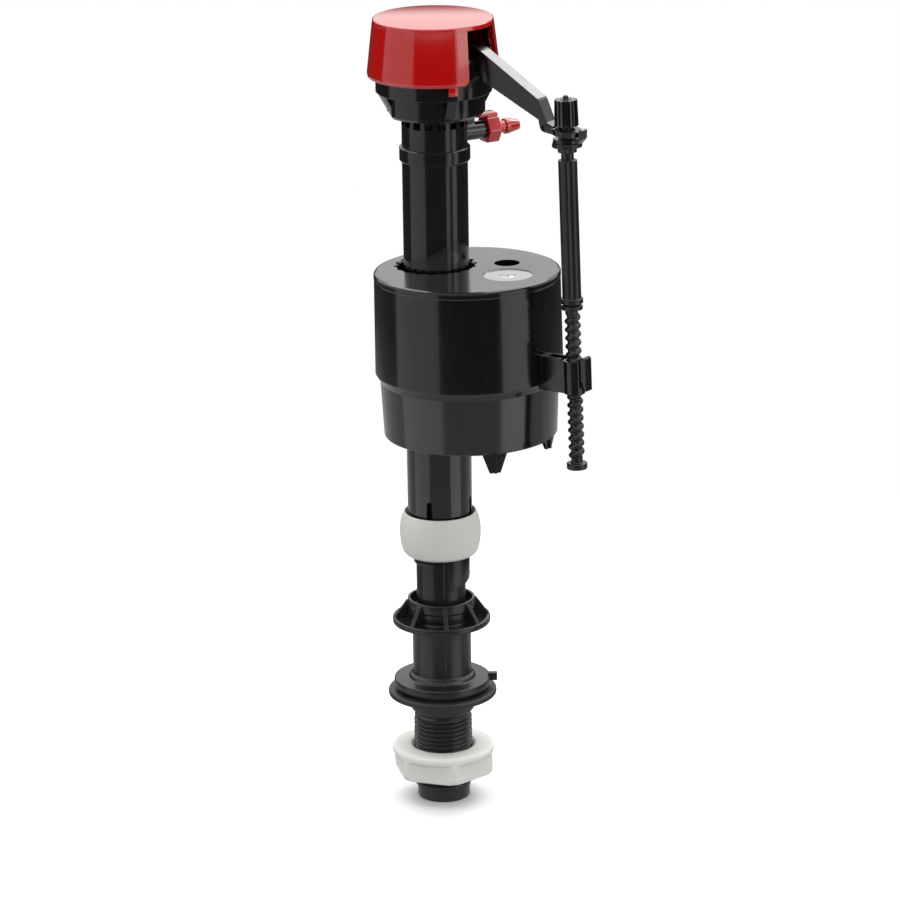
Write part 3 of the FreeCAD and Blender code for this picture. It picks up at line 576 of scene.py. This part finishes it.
class VALVE_OT_cap(bpy.types.Operator):
    """Build the red cap with its lever notch and tab"""
    bl_idname = "valve.cap"
    bl_label = "Cap"

    def execute(self, context):
        own = context.scene.valve_head
        top, rim, wall = own.cap_top / MM, own.cap_rim / MM, own.cap_wall / MM
        slope = (rim - top) / 19.8
        mesh = bmesh.new()
        spun(mesh, [(0, 303.7), (top - 0.35, 303.7, 0.35), (top, 303.35, 0.3),
                    (top + slope * 1.6, 302.0, 0.1), (0, 302.0)], segments=256, radius=0.05)
        skirt = fillet([
            (top + slope * 1.0, 302.6), (rim - 0.02, 283.5, 0.9), (rim - 0.35, 282.2, 0.3),
            (rim - wall, 282.2, 0.3), (top + slope * 1.0 - wall, 302.6),
        ], 0.2)
        rings = []
        steps = 224
        for step in range(steps + 1):
            ring = []
            for r, z in skirt:
                low = max(0.0, 1.0 - (z - 282.2) / 4.2)
                start = own.notch + math.radians(5.6) * low * low
                angle = start + (2 * math.pi - 2 * start) * step / steps
                ring.append(Vector((r * math.cos(angle), r * math.sin(angle), z)))
            rings.append(ring)
        loft(mesh, rings, caps=True)
        tab = [(22.6, 279.0), (24.0, 279.0), (24.0, 282.9), (22.6, 282.9)]
        plate(mesh, tab, 1.8, turned(-36.3), bevel=0.25)
        piece("red_cap", mesh, bpy.data.materials["red_gloss_plastic"], "cap", ["cap_cover"])
        return {"FINISHED"}


class VALVE_OT_nozzle(bpy.types.Operator):
    """Build the red barbed refill nozzle with its latch"""
    bl_idname = "valve.nozzle"
    bl_label = "Refill nozzle"

    def execute(self, context):
        barb = context.scene.valve_head.barb / MM
        mesh = bmesh.new()
        place = PORT @ Matrix.Rotation(math.radians(90), 4, "Y")

        def hexagonal(angle, r, z):
            """Flat sides on the body, with its corners taken off."""
            if r < 4.0:
                return r
            across = (math.degrees(angle) + 30) % 60 - 30
            return min(r * 0.97 / math.cos(math.radians(across)), r * 1.09)

        spun(mesh, [
            (1.0, 14.6), (2.0, 14.8), (2.0, 16.2), (1.45, 16.2), (1.45, 17.8), (2.1, 17.8),
            (2.1, 20.5), (4.9, 20.5, 0.5), (4.9, 25.9, 0.6), (2.1, 25.9, 0.4), (2.1, 29.4, 0.3),
            (barb, 29.4, 0.2), (barb, 30.7, 0.4), (1.9, 35.4, 0.3), (1.0, 35.4, 0.2),
        ], segments=96, place=place, shape=hexagonal)
        plate(mesh, [(17.0, 5.0), (18.6, 6.2), (25.0, 6.4), (25.6, 5.8), (25.6, 3.6), (21.4, 3.6),
                     (21.4, 5.2), (18.0, 5.0)], 2.2, PORT, bevel=0.25)
        piece("red_refill_nozzle", mesh, bpy.data.materials["red_gloss_plastic"], "nozzle",
              ["refill_nozzle"])
        return {"FINISHED"}


class VALVE_OT_rod(bpy.types.Operator):
    """Build the adjusting rod with its helical screw, and the fluted knob"""
    bl_idname = "valve.rod"
    bl_label = "Adjusting rod and knob"

    def execute(self, context):
        own = context.scene.valve_rod
        core, crest, shaft = own.core / MM, own.screw / MM, own.shaft / MM

        def grooved(angle, r, z):
            """Four shallow grooves along the shaft."""
            if abs(r - shaft) > 0.01:
                return r
            return r - 0.55 * max(0.0, math.cos(4 * angle + math.pi)) ** 3

        mesh = bmesh.new()
        spun(mesh, [
            (0, 142.2), (3.8, 142.2, 0.4), (3.8, 144.5, 0.4), (core, 144.5, 0.3),
            (core, 202.4), (3.9, 202.6, 0.2), (3.9, 203.9, 0.2), (2.9, 204.4), (4.1, 205.0),
            (4.1, 206.8, 0.3), (shaft, 206.8), (shaft, 258.0), (2.3, 258.0), (2.3, 261.0),
            (shaft, 261.0), (shaft, 262.9), (5.5, 262.9, 0.3), (5.5, 264.4, 0.3), (2.2, 264.4),
            (2.2, 270.6), (1.9, 270.6), (1.9, 280.3), (1.0, 280.3), (1.0, 281.6, 0.3),
            (0, 281.6),
        ], segments=96, place=ROD_LINE, radius=0.15, shape=grooved)
        thread(mesh, core, crest, own.lead / MM, 145.4, 202.3, ROD_LINE, segments=56, foot=0.40,
               land=0.11)
        satin = bpy.data.materials["satin_black_plastic"]
        piece("adjusting_screw_rod", mesh, satin, "adjuster", ["adjusting_rod"])

        def fluted(angle, r, z):
            """Round flutes between narrow lands."""
            if r < 3.0:
                return r
            return r - 0.55 * max(0.0, math.cos(own.flutes * angle)) ** 0.7

        knob = own.knob / MM
        mesh = bmesh.new()
        spun(mesh, [(1.95, 270.6), (knob, 270.6, 0.3), (knob - 0.25, 280.2, 0.12),
                    (1.95, 280.2)], segments=320, place=ROD_LINE, shape=fluted)
        piece("fluted_knob", mesh, bpy.data.materials["knob_black_plastic"], "adjuster",
              ["adjuster_knob"])
        return {"FINISHED"}


class VALVE_OT_stage(bpy.types.Operator):
    """Set the floor, the soft panels and the camera"""
    bl_idname = "valve.stage"
    bl_label = "Stage"

    def execute(self, context):
        own = context.scene.valve_stage
        self.floor(own)
        self.sky(context)
        self.panel("top_panel", 126.0, 0.49, 1.90, (3.0, 3.0), own.top_power)
        self.panel("left_panel", -120.0, 0.83, 0.10, (1.00, 0.86), own.left_power)
        self.panel("right_panel", 6.0, 0.85, 0.10, (0.62, 0.86), own.right_power)
        self.panel("upper_panel", 6.0, 0.84, 0.43, (0.50, 0.30), own.upper_power)
        self.panel("back_panel", 84.0, 0.78, 0.91, (0.36, 0.30), own.back_power)
        camera = bpy.data.cameras.new("studio_camera")
        camera.lens = own.lens
        camera.sensor_width = 36.0
        camera.clip_end = 20.0
        seat = bpy.data.objects.new("studio_camera", camera)
        seat.location = CAMERA_PLACE
        seat.rotation_euler = CAMERA_TURN
        context.scene.collection.objects.link(seat)
        context.scene.camera = seat
        context.scene.view_settings.view_transform = "Standard"
        return {"FINISHED"}

    def floor(self, own):
        """A pale round floor that fades out all round."""
        mesh = bmesh.new()
        rings = []
        for step in range(1, 12):
            reach = 0.04 * step
            rings.append([Vector((reach * math.cos(turn * math.pi / 30),
                                  reach * math.sin(turn * math.pi / 30), 0)) for turn in range(60)])
        loft(mesh, rings)
        mesh.verts.ensure_lookup_table()
        mesh.faces.new([mesh.verts[index] for index in range(60)])
        bmesh.ops.recalc_face_normals(mesh, faces=mesh.faces)
        data = bpy.data.meshes.new("studio_floor")
        mesh.to_mesh(data)
        mesh.free()
        finish = Finish("floor_paper", {"Specular IOR Level": 0.1})
        mottle = finish.noise(6.0, 2.0)
        finish.feed("Base Color", finish.mix(mottle, tint(own.floor, 0.995), tint(own.floor, 1.0)))
        finish.feed("Roughness", 0.85 + mottle * 0.05)
        place = finish.node("ShaderNodeTexCoord", output=3)
        reach = finish.node("ShaderNodeVectorMath", {"operation": "LENGTH"}, {0: place}, output=1)
        finish.feed("Alpha", finish.ramp(reach, 0.32, 0.42, dark=1.0, light=0.0))
        data.materials.append(finish.material)
        made = bpy.data.objects.new("studio_floor", data)
        bpy.context.scene.collection.objects.link(made)
        made.visible_glossy = False
        made.visible_diffuse = False

    def sky(self, context):
        """White behind the object, and a soft band of light round the horizon."""
        world = bpy.data.worlds.new("studio_sky")
        world.use_nodes = True
        context.scene.world = world
        tree = world.node_tree
        nodes, links = tree.nodes, tree.links
        place = nodes.new("ShaderNodeTexCoord")
        split = nodes.new("ShaderNodeSeparateXYZ")
        links.new(place.outputs["Generated"], split.inputs[0])
        height = nodes.new("ShaderNodeMapRange")
        height.inputs["From Min"].default_value = -1.0
        links.new(split.outputs["Z"], height.inputs["Value"])
        band = nodes.new("ShaderNodeValToRGB")
        for position, tone in SKY_BAND[2:]:
            band.color_ramp.elements.new(position).color = (tone, tone, tone, 1.0)
        for element, (position, tone) in zip(band.color_ramp.elements, SKY_BAND):
            element.position = position
            element.color = (tone, tone, tone, 1.0)
        links.new(height.outputs[0], band.inputs["Fac"])
        path = nodes.new("ShaderNodeLightPath")
        seen = nodes.new("ShaderNodeMix")
        seen.data_type = "RGBA"
        links.new(path.outputs["Is Camera Ray"], seen.inputs[0])
        links.new(band.outputs["Color"], seen.inputs[6])
        seen.inputs[7].default_value = (1.0, 1.0, 1.0, 1.0)
        links.new(seen.outputs[2], nodes["Background"].inputs["Color"])

    def panel(self, name, azimuth, away, height, size, power):
        """A soft rectangular light that faces the object."""
        turn = math.radians(azimuth)
        location = (away * math.cos(turn), away * math.sin(turn), height)
        light = bpy.data.lights.new(name, "AREA")
        light.shape = "RECTANGLE"
        light.size, light.size_y = size
        light.energy = power
        made = bpy.data.objects.new(name, light)
        made.location = location
        aim = Vector((0.02, 0, min(height, 0.12))) - Vector(location)
        made.rotation_euler = aim.to_track_quat("-Z", "Y").to_euler()
        made.visible_camera = False
        bpy.context.scene.collection.objects.link(made)


STEPS = (VALVE_OT_finishes, VALVE_OT_shank, VALVE_OT_washer_and_nut, VALVE_OT_collar,
         VALVE_OT_cap, VALVE_OT_nozzle, VALVE_OT_rod, VALVE_OT_stage)
SETTINGS = {"valve_shank": ShankSettings, "valve_head": HeadSettings, "valve_rod": RodSettings,
            "valve_finish": FinishSettings, "valve_stage": StageSettings}


class VALVE_PT_panel(bpy.types.Panel):
    """Sidebar list of the pieces and their settings"""
    bl_label = "Fill valve"
    bl_idname = "VALVE_PT_panel"
    bl_space_type = "VIEW_3D"
    bl_region_type = "UI"
    bl_category = "Fill valve"

    def draw(self, context):
        for name, group in SETTINGS.items():
            box = self.layout.box()
            for prop in group.__annotations__:
                box.prop(getattr(context.scene, name), prop)
        for step in STEPS:
            self.layout.operator(step.bl_idname)


CLASSES = (*SETTINGS.values(), *STEPS, VALVE_PT_panel)


def register():
    """Register the classes and hang the settings on the scene."""
    for item in CLASSES:
        bpy.utils.register_class(item)
    for name, group in SETTINGS.items():
        setattr(bpy.types.Scene, name, PointerProperty(type=group))


def unregister():
    """Undo register."""
    for name in SETTINGS:
        delattr(bpy.types.Scene, name)
    for item in reversed(CLASSES):
        bpy.utils.unregister_class(item)


def main():
    """Build every piece in order."""
    register()
    for step in STEPS:
        group, name = step.bl_idname.split(".")
        getattr(getattr(bpy.ops, group), name)()


if __name__ == "__main__":
    main()
